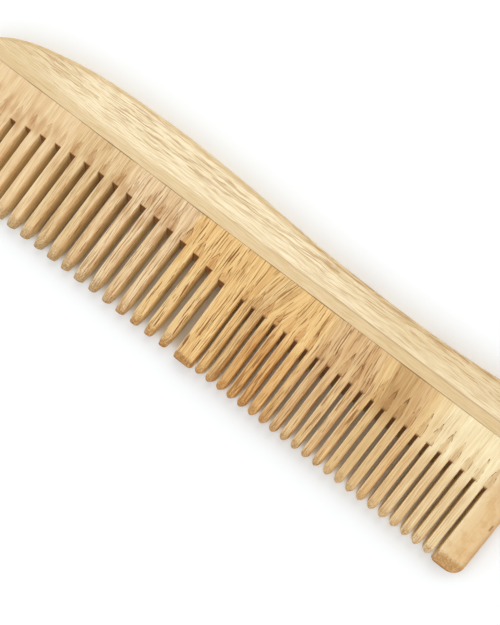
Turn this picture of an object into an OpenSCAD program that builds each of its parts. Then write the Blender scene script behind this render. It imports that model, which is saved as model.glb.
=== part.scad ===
// Two-pitch wooden comb: a spine board glued along the top of a toothed board.
// It lies on its back face. X runs along the comb, +Y points at the spine, +Z up.
// Sizes are in millimetres. The design sizes count X from the middle of the
// divider tooth and Y from the glue line; place() then centres the whole comb.

/* [Boards] */
// Length from the middle of the divider tooth to the left end
left_len = 99.6; // [96:0.1:104]
// Length from the middle of the divider tooth to the right end
right_len = 90.4; // [88:0.1:96]
// Thickness of both boards at the glue line
board_t = 6.0; // [5.6:0.1:8]
// Radius of the eased edges all round
edge_r = 1.8; // [0.8:0.1:2.4]
// Width of the glue line between the two boards
glue_gap = 0.06; // [0.04:0.01:0.2]

/* [Spine] */
// Length over which the spine rounds down to the left end
left_fade = 15.6; // [10:0.1:18]
// Length over which the spine rounds down to the right end
right_fade = 15.4; // [10:0.1:18]

/* [Coarse half] */
// Number of coarse teeth
coarse_n = 17; // [12:1:17]
// Distance from one coarse slot to the next
coarse_pitch = 4.92; // [4.6:0.01:4.92]
// Width of a coarse slot
coarse_kerf = 2.2; // [1.6:0.1:2.6]
// Depth of the highest coarse slot end below the glue line
coarse_depth = 7.87; // [6:0.01:10]
// Radius of the arc on which the coarse slots end
coarse_arc_r = 212; // [180:1:400]
// Distance of that arc's highest point left of the divider
coarse_arc_x = 42.1; // [38:0.1:46]
// Distance from the glue line to the coarse tips
coarse_tip = 35.5; // [30:0.1:40]
// Chamfer of a coarse tooth's edges at its root
coarse_bevel = 0.15; // [0.05:0.01:0.5]
// Length of the pointed groove that runs out above a coarse slot
coarse_arch = 5; // [3:0.1:5.6]
// How far a coarse tooth leans to the left for each millimetre of its length
coarse_lean = 0.03; // [0:0.01:0.04]

/* [Fine half] */
// Number of fine teeth
fine_n = 22; // [16:1:22]
// Distance from one fine slot to the next
fine_pitch = 3.566; // [3.3:0.001:3.57]
// Width of a fine slot
fine_kerf = 1.08; // [0.8:0.02:1.4]
// Depth of the fine slot end next to the divider
fine_depth = 11.6; // [9:0.1:14]
// How much deeper the last fine slot ends
fine_drop = 0.5; // [0:0.1:1]
// Distance from the glue line to the fine tips
fine_tip = 35.1; // [30:0.1:40]
// Chamfer of a fine tooth's edges at its root
fine_bevel = 0.45; // [0.05:0.01:0.5]
// Length of the pointed groove above the first fine slot
fine_arch = 4.9; // [3:0.1:8]
// Length of the pointed groove above the outer fine slots
fine_arch_end = 7.3; // [3:0.1:8]

/* [Teeth] */
// Width of the divider tooth between the halves
divider_w = 5.8; // [4:0.1:8]
// Distance from the glue line to the divider's end
divider_tip = 35.5; // [30:0.1:40]
// Distance from the glue line to the guards' ends
guard_tip = 35.5; // [30:0.1:40]
// Thickness of the teeth just above their tips
tip_t = 5.1; // [4:0.1:5.6]
// Distance from the glue line to where the teeth start to thin
thin_y = 13; // [12:0.1:16]
// Chamfer of a tooth's edges from where it starts to thin
tooth_bevel = 0.6; // [0.2:0.01:0.7]
// Radius of the guards' outer bottom corners
corner_r = 3.3; // [1:0.1:5]

/* [Hidden] */
// Gap between a tooth and the board that it grows from
root_gap = 0.03;
// Free height of the spine above the glue line
// Columns: X from the divider, height of the outline
SPINE = [
    [-104, 6.5],
    [-94, 8.0],
    [-88, 9.05],
    [-82, 10.35],
    [-76, 11.55],
    [-70, 12.5],
    [-64, 13.15],
    [-56, 13.65],
    [-46, 13.93],
    [-36, 14.02],
    [-26, 13.7],
    [-16, 13.25],
    [-6, 12.58],
    [4, 11.85],
    [14, 11.2],
    [24, 10.88],
    [34, 10.68],
    [44, 10.62],
    [54, 10.88],
    [64, 11.4],
    [74, 12.3],
    [84, 13.4],
    [96, 14.6]
];
// Stretches of a bullet-shaped tip
// Columns: share of the tip's length, share of the way to the blunt end's size
TIP = [
    [0, 0],
    [0.3, 0.12],
    [0.55, 0.38],
    [0.8, 0.7],
    [1, 1]
];
coarse_tip_len = 5.6;
coarse_tip_w = 1.5;
fine_tip_len = 2.6;
fine_tip_w = 0.6;
tip_end_t = 2.3;
// Length of the slanting facet on the divider's end and on a guard's end
divider_facet = 2.6;
guard_facet = 4.3;
facet_t = 2.9;
eased_steps = 4;
end_steps = 9;
top_step = 2.5;
arch_grown_x = 40;
corner_steps = 8;
outer_fn = 48;

first_coarse = -(divider_w + coarse_kerf) / 2;
first_fine = (divider_w + fine_kerf) / 2;
last_coarse = coarse_x(coarse_n);
last_fine = fine_x(fine_n);
spine_line = spine_outline();
top_y = max([for (p = spine_line) p[1]]);
mid_x = (right_len - left_len) / 2;
mid_y = (top_y - max(guard_tip, divider_tip, coarse_tip, fine_tip)) / 2;

function two_digits(i) = str(i < 10 ? "0" : "", i);
COARSE = [for (i = [1:coarse_n]) str("coarse_tooth_", two_digits(i))];
FINE = [for (i = [1:fine_n]) str("fine_tooth_", two_digits(i))];

// Middle of coarse slot i, counted from 0 at the divider towards the left
function coarse_x(i) = first_coarse - i * coarse_pitch;
// Middle of fine slot i, counted from 0 at the divider towards the right
function fine_x(i) = first_fine + i * fine_pitch;
// Y where a coarse slot ends: an arc that bulges towards the spine
function coarse_end(x) =
    -coarse_depth - coarse_arc_r + sqrt(pow(coarse_arc_r, 2) - pow(x + coarse_arc_x, 2));
// Y where a fine slot ends: a slightly sloping line
function fine_end(x) = -fine_depth - fine_drop * x / right_len;
// Length of the groove above a fine slot, growing to its full length at arch_grown_x
function fine_arch_at(x) = fine_arch + (fine_arch_end - fine_arch) * min(1, x / arch_grown_x);

// Slope of the spine's table at row i, from its neighbours
function row_slope(i) =
    let (a = max(i - 1, 0))
    let (b = min(i + 1, len(SPINE) - 1))
    (SPINE[b][1] - SPINE[a][1]) / (SPINE[b][0] - SPINE[a][0]);
// Smooth curve through the spine's table
function free_rise(x, i = 0) =
    x > SPINE[i + 1][0] && i < len(SPINE) - 2
    ? free_rise(x, i + 1)
    : let (w = SPINE[i + 1][0] - SPINE[i][0])
      let (t = (x - SPINE[i][0]) / w)
      (2 * pow(t, 3) - 3 * pow(t, 2) + 1) * SPINE[i][1]
      + (pow(t, 3) - 2 * pow(t, 2) + t) * w * row_slope(i)
      + (3 * pow(t, 2) - 2 * pow(t, 3)) * SPINE[i + 1][1]
      + (pow(t, 3) - pow(t, 2)) * w * row_slope(i + 1);

// Outline of the spine's free edge, from the left end over the top to the right
function left_end_part() = [
    for (i = [0:end_steps - 1])
        let (a = 90 * i / end_steps)
        let (x = -left_len + left_fade * (1 - cos(a)))
        [x, free_rise(x) * sin(a)]
];
function right_end_part() = [
    for (i = [end_steps - 1:-1:0])
        let (a = 90 * i / end_steps)
        let (x = right_len - right_fade * (1 - cos(a)))
        [x, free_rise(x) * sin(a)]
];
function top_part() =
    let (a = -left_len + left_fade)
    let (b = right_len - right_fade)
    let (n = round((b - a) / top_step))
    [for (i = [0:n]) let (x = a + (b - a) * i / n) [x, free_rise(x)]];
function spine_outline() = concat(left_end_part(), top_part(), right_end_part());

// Outward direction of the spine's outline at point i
function outward(line, i) =
    i == 0 ? [-1, 0]
    : i == len(line) - 1 ? [1, 0]
    : let (d = line[i + 1] - line[i - 1])
      [-d[1], d[0]] / norm(d);

// How far an eased edge stands back at height z above its own face
function eased(z) = z >= edge_r ? 0 : edge_r - sqrt(pow(edge_r, 2) - pow(edge_r - z, 2));
// Heights at which the eased edge is cut, from the back face to the front face
function eased_levels() =
    let (low = [for (i = [0:eased_steps]) edge_r * (1 - cos(90 * i / eased_steps))])
    concat(low, [for (i = [eased_steps:-1:0]) board_t - low[i]]);

module place() {
    translate([-mid_x, -mid_y, 0]) children();
}

// Closed solid through rings of points, all with the same number of points,
// each ring running clockwise when it is seen from the first ring's side
module loft(rings) {
    n = len(rings[0]);
    last = (len(rings) - 1) * n;
    points = [for (r = rings) each r];
    sides = [
        for (k = [0:len(rings) - 2])
            for (i = [0:n - 1])
                let (j = (i + 1) % n)
                each [
                    [k * n + i, k * n + j, (k + 1) * n + j],
                    [k * n + i, (k + 1) * n + j, (k + 1) * n + i]
                ]
    ];
    first_cap = [for (i = [n - 1:-1:0]) i];
    last_cap = [for (i = [0:n - 1]) last + i];
    polyhedron(points = points, faces = concat(sides, [first_cap, last_cap]));
}

// Rounded section of the toothed board, run along Y
module eased_bar() {
    comb_len = left_len + right_len;
    translate([-left_len, 0, 0])
        rotate([90, 0, 0])
            linear_extrude(height = guard_tip + 1) {
                translate([edge_r, 0]) square([comb_len - 2 * edge_r, board_t]);
                translate([0, edge_r]) square([comb_len, board_t - 2 * edge_r]);
                for (x = [edge_r, comb_len - edge_r])
                    for (z = [edge_r, board_t - edge_r])
                        translate([x, z]) circle(r = edge_r, $fn = outer_fn);
            }
}

// Side view of a thick tooth: flat, then thinning, then a facet on both faces
module side_view(tip, facet) {
    thin = (board_t - tip_t) / 2;
    cut = (board_t - facet_t) / 2;
    translate([-left_len - 1, 0, 0])
        rotate([90, 0, 90])
            linear_extrude(height = left_len + right_len + 2)
                polygon([
                    [0, 0],
                    [-thin_y, 0],
                    [-tip + facet, thin],
                    [-tip, cut],
                    [-tip, board_t - cut],
                    [-tip + facet, board_t - thin],
                    [-thin_y, board_t],
                    [0, board_t]
                ]);
}

module spine() {
    levels = eased_levels();
    rings = [
        for (z = levels)
            let (back = eased(min(z, board_t - z)))
            [
                for (i = [0:len(spine_line) - 1])
                    let (p = spine_line[i] - outward(spine_line, i) * back)
                    [p[0], p[1] + glue_gap / 2, z]
            ]
    ];
    color([0.93, 0.84, 0.66]) place() loft(rings);
}

// V-shaped groove that runs out upwards from a slot's end on the front face
module arch_groove(x, y, half, run) {
    tilt = atan(half / run);
    reach = 2 * half;
    translate([x, y + run, board_t])
        rotate([90 + tilt, 0, 0])
            linear_extrude(height = run / cos(tilt) + 0.2)
                polygon([[0, 0], [reach, reach], [-reach, reach]]);
}

module arch_pair(x, y, half, run) {
    arch_groove(x, y, half, run);
    translate([0, 0, board_t]) mirror([0, 0, 1]) arch_groove(x, y, half, run);
}

// The root strip, from the glue line to the slots' ends
module tooth_board() {
    left_edge = last_coarse - coarse_kerf / 2;
    right_edge = last_fine + fine_kerf / 2;
    coarse_ends = [
        for (i = [coarse_n:-1:0])
            let (x = coarse_x(i))
            each [[x - coarse_kerf / 2, coarse_end(x)], [x + coarse_kerf / 2, coarse_end(x)]]
    ];
    fine_ends = [
        for (i = [0:fine_n])
            let (x = fine_x(i))
            each [[x - fine_kerf / 2, fine_end(x)], [x + fine_kerf / 2, fine_end(x)]]
    ];
    outline = concat(
        [[right_len, fine_end(right_edge)], [right_len, -glue_gap / 2], [-left_len, -glue_gap / 2]],
        [[-left_len, coarse_end(last_coarse)]],
        coarse_ends,
        fine_ends
    );
    color([0.89, 0.74, 0.52])
        place()
            difference() {
                intersection() {
                    linear_extrude(height = board_t) polygon(outline);
                    eased_bar();
                }
                for (i = [0:coarse_n])
                    let (x = coarse_x(i))
                    arch_pair(x, coarse_end(x), coarse_kerf / 2 + coarse_bevel, coarse_arch);
                for (i = [0:fine_n])
                    let (x = fine_x(i))
                    arch_pair(x, fine_end(x), fine_kerf / 2 + fine_bevel, fine_arch_at(x));
            }
}

// Section of a tooth at height y with its edges chamfered by bevel; slope tilts the ring
function tooth_ring(x, y, slope, w, t, bevel) =
    let (b = min(bevel, w / 3))
    let (low = (board_t - t) / 2)
    let (high = low + t)
    let (corners = [
        [w / 2, low + b],
        [w / 2, high - b],
        [w / 2 - b, high],
        [b - w / 2, high],
        [-w / 2, high - b],
        [-w / 2, low + b],
        [b - w / 2, low],
        [w / 2 - b, low]
    ])
    [for (c = corners) [x + c[0], y + slope * c[0], c[1]]];

// A tooth from left slot edge xa at height ya to right slot edge xb at height yb
module tooth(xa, ya, xb, yb, tip, tip_len, tip_w, bevel, lean) {
    x = (xa + xb) / 2;
    root = (ya + yb) / 2 - root_gap;
    w = xb - xa;
    slope = (yb - ya) / w;
    bend_y = -thin_y - (w / 2) * abs(slope);
    rows = [
        for (row = TIP)
            let (y = -tip + tip_len * (1 - row[0]))
            tooth_ring(
                x + lean * (y - root),
                y,
                0,
                w + (tip_w - w) * row[1],
                tip_t + (tip_end_t - tip_t) * row[1],
                tooth_bevel
            )
    ];
    top = tooth_ring(x, root, slope, w, board_t, bevel);
    bend = tooth_ring(x + lean * (bend_y - root), bend_y, 0, w, board_t, bevel);
    loft(concat([top, bend], rows));
}

module coarse_tooth(i) {
    xa = coarse_x(i);
    xb = coarse_x(i - 1);
    color([0.9, 0.78, 0.58])
        place()
            tooth(
                xa + coarse_kerf / 2, coarse_end(xa),
                xb - coarse_kerf / 2, coarse_end(xb),
                coarse_tip, coarse_tip_len, coarse_tip_w, coarse_bevel, coarse_lean
            );
}

module fine_tooth(i) {
    xa = fine_x(i - 1);
    xb = fine_x(i);
    color([0.86, 0.7, 0.48])
        place()
            tooth(
                xa + fine_kerf / 2, fine_end(xa),
                xb - fine_kerf / 2, fine_end(xb),
                fine_tip, fine_tip_len, fine_tip_w, fine_bevel, 0
            );
}

module divider_tooth() {
    half = divider_w / 2;
    bevel = tooth_bevel;
    color([0.88, 0.72, 0.5])
        place()
            intersection() {
                linear_extrude(height = board_t)
                    polygon([
                        [-half, coarse_end(first_coarse) - root_gap],
                        [half, fine_end(first_fine) - root_gap],
                        [half, -divider_tip + bevel],
                        [half - bevel, -divider_tip],
                        [bevel - half, -divider_tip],
                        [-half, -divider_tip + bevel]
                    ]);
                side_view(divider_tip, divider_facet);
            }
}

// Wide end tooth between an inner edge and the comb's end, side -1 or 1
module guard(inner, outer, root_y, side) {
    root = root_y - root_gap;
    centre = [outer - side * corner_r, corner_r - guard_tip];
    corner = [
        for (i = [0:corner_steps])
            let (a = 90 * i / corner_steps)
            centre + corner_r * [side * cos(a), -sin(a)]
    ];
    outline = concat([[inner, root], [outer, root]], corner, [[inner, -guard_tip]]);
    intersection() {
        linear_extrude(height = board_t) polygon(outline);
        side_view(guard_tip, guard_facet);
        eased_bar();
    }
}

module left_guard() {
    inner = last_coarse - coarse_kerf / 2;
    color([0.92, 0.82, 0.63]) place() guard(inner, -left_len, coarse_end(last_coarse), -1);
}

module right_guard() {
    inner = last_fine + fine_kerf / 2;
    color([0.95, 0.87, 0.7]) place() guard(inner, right_len, fine_end(inner), 1);
}

spine();
tooth_board();
left_guard();
divider_tooth();
right_guard();
for (i = [1:coarse_n]) coarse_tooth(i);
for (i = [1:fine_n]) fine_tooth(i);
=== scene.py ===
import math

import bmesh
import bpy
import numpy as np
from bpy.props import FloatProperty, FloatVectorProperty, PointerProperty
from mathutils import Matrix, Vector


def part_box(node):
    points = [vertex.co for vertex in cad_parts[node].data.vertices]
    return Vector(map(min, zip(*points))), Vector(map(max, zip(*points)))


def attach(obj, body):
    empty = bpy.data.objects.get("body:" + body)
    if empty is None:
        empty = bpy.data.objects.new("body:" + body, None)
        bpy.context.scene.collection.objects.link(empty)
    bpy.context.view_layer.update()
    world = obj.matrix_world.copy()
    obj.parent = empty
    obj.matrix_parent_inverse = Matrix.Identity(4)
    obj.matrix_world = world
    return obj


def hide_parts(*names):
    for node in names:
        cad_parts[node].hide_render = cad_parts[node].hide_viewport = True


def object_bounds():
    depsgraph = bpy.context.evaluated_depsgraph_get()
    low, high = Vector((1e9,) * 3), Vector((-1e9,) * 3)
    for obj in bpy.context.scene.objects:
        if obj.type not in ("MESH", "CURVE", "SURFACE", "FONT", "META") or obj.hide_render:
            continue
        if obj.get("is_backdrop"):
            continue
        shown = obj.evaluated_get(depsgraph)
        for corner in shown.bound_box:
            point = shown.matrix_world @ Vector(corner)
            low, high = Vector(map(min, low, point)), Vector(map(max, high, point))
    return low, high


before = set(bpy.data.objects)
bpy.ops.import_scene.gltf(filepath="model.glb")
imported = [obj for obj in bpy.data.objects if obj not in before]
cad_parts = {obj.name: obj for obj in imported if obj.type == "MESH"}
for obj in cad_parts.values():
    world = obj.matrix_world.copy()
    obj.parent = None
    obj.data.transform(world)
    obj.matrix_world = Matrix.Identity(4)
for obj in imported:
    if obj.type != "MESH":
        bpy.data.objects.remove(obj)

bl_info = {
    "name": "Two-pitch wooden comb",
    "version": (1, 0, 0),
    "blender": (4, 5, 0),
    "location": "3D View > Sidebar > Comb",
    "description": "Builds a wooden comb from a spine board and a toothed board, with its stage",
    "category": "Add Mesh",
}

# Design coordinates, in metres: X runs along the comb from the middle of the divider
# tooth, Y from the glue line towards the spine, Z up from the surface it lies on.
LOW, HIGH = (np.array(corner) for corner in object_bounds())
COARSE = sorted((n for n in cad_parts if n.startswith("coarse_tooth_")), reverse=True)
FINE = sorted(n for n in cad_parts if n.startswith("fine_tooth_"))
TEETH = ["left_guard"] + COARSE + ["divider_tooth"] + FINE + ["right_guard"]
TOOTH_LOW = np.array([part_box(name)[0] for name in TEETH])
TOOTH_HIGH = np.array([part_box(name)[1] for name in TEETH])
DIVIDER = TEETH.index("divider_tooth")
BOARD_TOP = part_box("tooth_board")[1].y
SPINE_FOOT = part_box("spine")[0].y
GLUE_Y = (BOARD_TOP + SPINE_FOOT) / 2
ORIGIN = np.array([(TOOTH_LOW[DIVIDER, 0] + TOOTH_HIGH[DIVIDER, 0]) / 2, GLUE_Y, 0.0])
THICK = HIGH[2] - LOW[2]

# The coarse teeth lean to the left, so only their right edges are at their root's place
COARSE_PITCH = TOOTH_HIGH[2, 0] - TOOTH_HIGH[1, 0]
COARSE_SLOT = TOOTH_LOW[DIVIDER, 0] - TOOTH_HIGH[DIVIDER - 1, 0]
TOOTH_LOW[1:DIVIDER, 0] = TOOTH_HIGH[1:DIVIDER, 0] - COARSE_PITCH + COARSE_SLOT


def tone(red, green, blue):
    """The linear colour of an 8-bit screen colour."""
    screen = np.array([red, green, blue]) / 255
    linear = np.where(screen > 0.04045, ((screen + 0.055) / 1.055) ** 2.4, screen / 12.92)
    return (*linear.tolist(), 1.0)


def size(name, default, description):
    """A length property, in metres."""
    return FloatProperty(
        name=name, description=description, default=default, min=0.0, unit="LENGTH", precision=5
    )


def number(name, default, description, unit="NONE"):
    """A property that is one number."""
    return FloatProperty(name=name, description=description, default=default, unit=unit)


def point(name, default, description):
    """A property that is a place, in metres."""
    return FloatVectorProperty(name=name, description=description, default=default, unit="LENGTH")


def colour(name, default, description):
    """A colour property."""
    return FloatVectorProperty(
        name=name, description=description, default=default, size=4, min=0.0, max=1.0,
        subtype="COLOR",
    )


class CombSizes(bpy.types.PropertyGroup):
    """Sizes of the two boards and of their cuts"""

    edge_radius: size("Edge radius", 0.0018, "Radius of the eased edges all round")
    arc_top: size("Slot arc depth", 0.00787, "Depth of the highest coarse slot end")
    arc_radius: size("Slot arc radius", 0.212, "Radius of the arc on which the coarse slots end")
    arc_offset: size("Slot arc offset", 0.0421, "Distance of the arc's top left of the divider")
    fine_depth: size("Fine depth", 0.0116, "Depth of the fine slot end next to the divider")
    fine_drop: size("Fine drop", 0.0005, "How much deeper the last fine slot ends")
    coarse_arch: size("Coarse arch", 0.005, "Length of the scoop above a coarse slot")
    fine_arch: size("Fine arch", 0.0049, "Length of the scoop above the first fine slot")
    fine_arch_end: size("Outer fine arch", 0.0073, "Length of the scoop above the outer fine slots")
    fine_arch_grown: size("Fine arch growth", 0.040, "Where the fine scoops reach full length")
    coarse_spread: size("Coarse spread", 0.00015, "How far a scoop is wider than its coarse slot")
    fine_spread: size("Fine spread", 0.00045, "How far a scoop is wider than its fine slot")
    scoop_depth: size("Scoop depth", 0.0007, "Depth of a scoop at its slot")
    thin_from: size("Thinning", 0.013, "Distance from the glue line where the teeth start to thin")
    tip_thick: size("Tip thickness", 0.0051, "Thickness of the teeth just above their tips")
    tip_end: size("Tip end", 0.0023, "Thickness at the very end of a tooth")
    coarse_tip: size("Coarse tip", 0.0056, "Length of a coarse tooth's bullet-shaped tip")
    fine_tip: size("Fine tip", 0.0021, "Length of a fine tooth's bullet-shaped tip")
    coarse_blunt: size("Coarse blunt end", 0.0018, "Width of a coarse tooth's end")
    fine_blunt: size("Fine blunt end", 0.0006, "Width of a fine tooth's end")
    divider_facet: size("Divider facet", 0.0026, "Length of the slanting facet on the divider's end")
    guard_facet: size("Guard facet", 0.0043, "Length of the slanting facet on a guard's end")
    facet_thick: size("Facet thickness", 0.0029, "Thickness at the end of a facet")
    corner_radius: size("Corner radius", 0.0033, "Radius of the guards' outer corners")
    coarse_slant: size("Coarse slant", 0.0021, "How much shorter a coarse slot is at the back")
    fine_slant: size("Fine slant", 0.0042, "How much shorter a fine slot is at the back")
    coarse_lean: number("Coarse lean", 0.03, "How far a coarse tooth leans left per length")


class WoodTones(bpy.types.PropertyGroup):
    """Colours of the two boards"""

    spine: colour("Spine", tone(247, 231, 196), "Main colour of the spine board")
    spine_band: colour("Spine band", tone(226, 202, 160), "Plain band along the glue line")
    # Painted shade: the spine's rounded edge is painted darker where it turns from the light
    spine_edge_shade: colour("Spine edge", tone(208, 179, 129), "Rounded edge of the spine board")
    spine_streak: colour("Spine streak", tone(208, 178, 126), "Wavy streaks of the spine board")
    peach: colour("Peach", tone(237, 213, 170), "Toothed board at its left end")
    tan: colour("Tan", tone(231, 206, 160), "Toothed board left of the middle")
    cream: colour("Cream", tone(238, 215, 175), "Light stretch before the orange one")
    orange: colour("Orange", tone(240, 206, 144), "Open-grained stretch at the divider")
    brown: colour("Brown", tone(226, 195, 146), "Stretch right of the orange one")
    dark: colour("Dark", tone(203, 168, 115), "Darkest stretch of the toothed board")
    straw: colour("Straw", tone(231, 200, 144), "Stretches beside the pale one")
    pale: colour("Pale", tone(248, 235, 195), "Toothed board at its right end")
    fibre: colour("Fibre", tone(199, 158, 106), "Dark fibres of the toothed board")
    # Painted highlight on the teeth's left edges
    edge_highlight: colour("Edge highlight", tone(255, 238, 204), "Painted highlight on the teeth's left edges")
    pore: colour("Pore", tone(132, 79, 26), "Open pores of the toothed board")
    # On the teeth's right bevels this tone is laid as painted shade
    cut: colour("Fresh cut", tone(214, 172, 108), "Scooped and bevelled surfaces")
    sawn: colour("Sawn", tone(243, 217, 155), "Walls of the slots")
    # Dark brown of the slot ends, partly the saw's burn and partly painted shade; also painted shade
    # on the guards' outer edges
    burnt: colour("Slot end", tone(136, 86, 46), "Ends of the slots, darkened by the saw")
    end_grain: colour("End grain", tone(170, 121, 58), "Facets of the guards and the divider")
    # Partly painted shade where the tips round away, partly end grain
    tip_shade_and_grain: colour("Tip shade and grain", tone(163, 133, 88), "Tips of the teeth, painted darker as shade and end grain")
    glue: colour("Glue line", tone(120, 84, 48), "Joint between the two boards")


class StageLooks(bpy.types.PropertyGroup):
    """Light, floor and camera"""

    sky: number("Sky", 1.545, "Strength of the even light")
    overhead: number("Overhead", 0.38, "Strength of the even light straight above")
    side: number("Side", 0.1, "How much stronger the even light is from the right")
    key: number("Key light", 0.49, "Power of the soft light", "POWER")
    key_size: size("Key size", 0.3, "Width of the soft light")
    key_place: point("Key place", (0.0, 0.436, 0.67), "Where the soft light is, beyond the spine")
    key_tint: colour("Key tint", (1.0, 0.99, 0.98, 1.0), "Colour of the soft light")
    floor: colour("Floor", (0.955, 0.979, 0.989, 1.0), "Colour of the floor")
    mottle: colour("Mottle", (0.945, 0.969, 0.979, 1.0), "Faint blotches of the floor")
    # Painted shade on the floor: deep and brown in the coarse slots, warm in the fine slots with a
    # painted reflection of the wood, beside next to the right guard
    deep: colour("Deep shade", (0.5, 0.42, 0.32, 1.0), "Floor in the slots at the left end")
    brown: colour("Brown shade", (0.68, 0.62, 0.5, 1.0), "Floor in the slots near the middle")
    warm: colour("Warm shade", (1.0, 0.9, 0.72, 1.0), "Floor in the fine slots, lit by the wood")
    beside: colour("Shade beside", (0.7, 0.71, 0.69, 1.0), "Floor next to the right guard")
    camera_place: point("Camera place", (0.0437, 0.0136, 0.2456), "Where the camera is")
    camera_aim: point("Camera aim", (0.01164, -0.00265, 0.006), "What the camera looks at")
    camera_roll: FloatProperty(
        name="Camera roll", description="How far the comb is turned in the picture",
        default=math.radians(37.5), subtype="ANGLE",
    )
    lens: number("Lens", 53.0, "Focal length, in millimetres", "CAMERA")


# Columns over an eased edge, a tooth's face, a slot and a wall; rows over a scoop,
# over the plain board above it, down a tooth and down its tip
EASE = 4
FACE = 4
SLOT = 6
WALL = 6
SCOOP_ROWS = 10
PLAIN_ROWS = 5
TOOTH_ROWS = 14
TIP_ROWS = 10

# Angle in degrees past which an edge is drawn sharp, and a length that counts as nothing
SHARP = 38
TINY = 1e-9

# How far the hand strays from tooth to tooth, as the least and the most: factors on a
# scoop's length, a tip's length, its end's width and thickness and its two sides, and
# lengths by which a coarse tooth is short and a front left, front right or back edge is eased;
# the divider's two front edges have their own eases
SEED = 7
SCOOP_STRAY = (0.86, 1.0)
TIP_STRAY = (0.85, 1.1)
BLUNT_STRAY = (0.8, 1.25)
THICK_STRAY = (0.85, 1.3)
SIDE_STRAY = (-0.12, 0.12)
SHORT_STRAY = (0, 0.00015)
LEFT_EASE = (0.00025, 0.00045)
RIGHT_EASE = (0.0005, 0.0011)
BACK_EASE = (0.00015, 0.0003)
DIVIDER_EASE = (0.0006, 0.0010)

# Radii of the small corners on a coarse or fine tip, a wide tooth's sides and its facet,
# the powers by which a coarse or fine tip narrows, and the drop of a full bevel
TIP_CORNER = (0.0004, 0.0002)
WIDE_CORNER = 0.0006
FACET_CORNER = 0.0003
POINT_POWER = (2.1, 3.0)
BEVEL_DROP = 0.0006

# Lengths below the root over which a tooth's sides, drop, painted highlight rim and eased edges
# take over from the scoop's
SIDES_SETTLE = 0.0015
DROP_SETTLES = 0.0035
RIM_SETTLES = 0.002
EASE_SETTLES = 0.009

# Most that an eased edge takes of a tooth's width, of its thickness, and of a guard's thickness
EASE_WIDTH = 0.46
EASE_DEPTH = 0.36
GUARD_DEPTH = 0.42


def fillet(turns):
    """Way in and drop along a quarter round of radius 1: 1 less the cosine and 1 less the sine."""
    angle = np.asarray(turns) * math.pi / 2
    return 1 - np.cos(angle), 1 - np.sin(angle)


def blend(low, high, share):
    """Straight mix of low and high."""
    return low + (high - low) * share


def ease_in(value):
    """Smooth step from 0 to 1."""
    held = np.clip(value, 0, 1)
    return held * held * (3 - 2 * held)


def grid_faces(shape, start, flip=False):
    """Triangles of a stack of grids whose last two axes are rows and columns."""
    index = start + np.arange(int(np.prod(shape))).reshape(shape)
    a = index[..., :-1, :-1].ravel()
    b = index[..., :-1, 1:].ravel()
    c = index[..., 1:, 1:].ravel()
    d = index[..., 1:, :-1].ravel()
    triangles = np.concatenate([np.stack([a, b, c], 1), np.stack([a, c, d], 1)])
    return triangles[:, ::-1] if flip else triangles


class Skin:
    """Collects grids of points with their values, and welds them into one closed mesh."""

    def __init__(self, names):
        self.names = names
        self.points = []
        self.values = {name: [] for name in names}
        self.faces = []
        self.count = 0

    def add(self, x, y, z, flip=False, **values):
        """Adds the grid of points (x, y, z), each array broadcast to the same shape."""
        x, y, z = np.broadcast_arrays(x, y, z)
        self.faces.append(grid_faces(x.shape, self.count, flip))
        self.points.append(np.stack([x.ravel(), y.ravel(), z.ravel()], 1))
        for name in self.names:
            value = np.broadcast_to(values.get(name, 0.0), x.shape)
            self.values[name].append(value.ravel())
        self.count += x.size

    def mesh(self, name):
        """The welded mesh, smooth but for its sharp edges."""
        points = np.concatenate(self.points) + ORIGIN
        faces = np.concatenate(self.faces)
        key = np.round(points * 1e7).astype(np.int64)
        first, lookup = np.unique(key, axis=0, return_index=True, return_inverse=True)[1:]
        a, b, c = lookup.ravel()[faces].T
        kept = (a != b) & (b != c) & (c != a)
        mesh = bpy.data.meshes.new(name)
        mesh.from_pydata(points[first].tolist(), [], np.stack([a, b, c], 1)[kept].tolist())
        for value_name in self.names:
            layer = mesh.attributes.new(value_name, "FLOAT", "POINT")
            layer.data.foreach_set("value", np.concatenate(self.values[value_name])[first])
        shell = bmesh.new()
        shell.from_mesh(mesh)
        bmesh.ops.recalc_face_normals(shell, faces=shell.faces)
        shell.to_mesh(mesh)
        shell.free()
        mesh.shade_smooth()
        mesh.set_sharp_from_angle(angle=math.radians(SHARP))
        return mesh


def make_piece(name, skin, material, nodes):
    """Puts a skin's mesh into the scene as a piece that stands for CAD nodes."""
    mesh = skin.mesh(name)
    mesh.materials.append(material)
    piece = bpy.data.objects.new(name, mesh)
    bpy.context.scene.collection.objects.link(piece)
    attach(piece, "root")
    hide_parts(*nodes)


def slot_table(sizes):
    """Middle, half width, end, scoop half width and scoop length of each slot, from the left."""
    left = TOOTH_HIGH[:-1, :1] - ORIGIN[0]
    right = TOOTH_LOW[1:, :1] - ORIGIN[0]
    middle = (left + right) / 2
    half = (right - left) / 2
    coarse = np.arange(len(middle))[:, None] < DIVIDER
    from_top = middle + sizes.arc_offset
    arc_end = np.sqrt(sizes.arc_radius**2 - from_top**2) - sizes.arc_radius - sizes.arc_top
    fine_end = -sizes.fine_depth - sizes.fine_drop * middle / (HIGH[0] - ORIGIN[0])
    end = np.where(coarse, arc_end, fine_end)
    spread = half + np.where(coarse, sizes.coarse_spread, sizes.fine_spread)
    grown = np.clip(middle / sizes.fine_arch_grown, 0, 1)
    fine_run = blend(sizes.fine_arch, sizes.fine_arch_end, grown)
    run = np.where(coarse, sizes.coarse_arch, fine_run)
    return middle, half, end, spread, run


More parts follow.
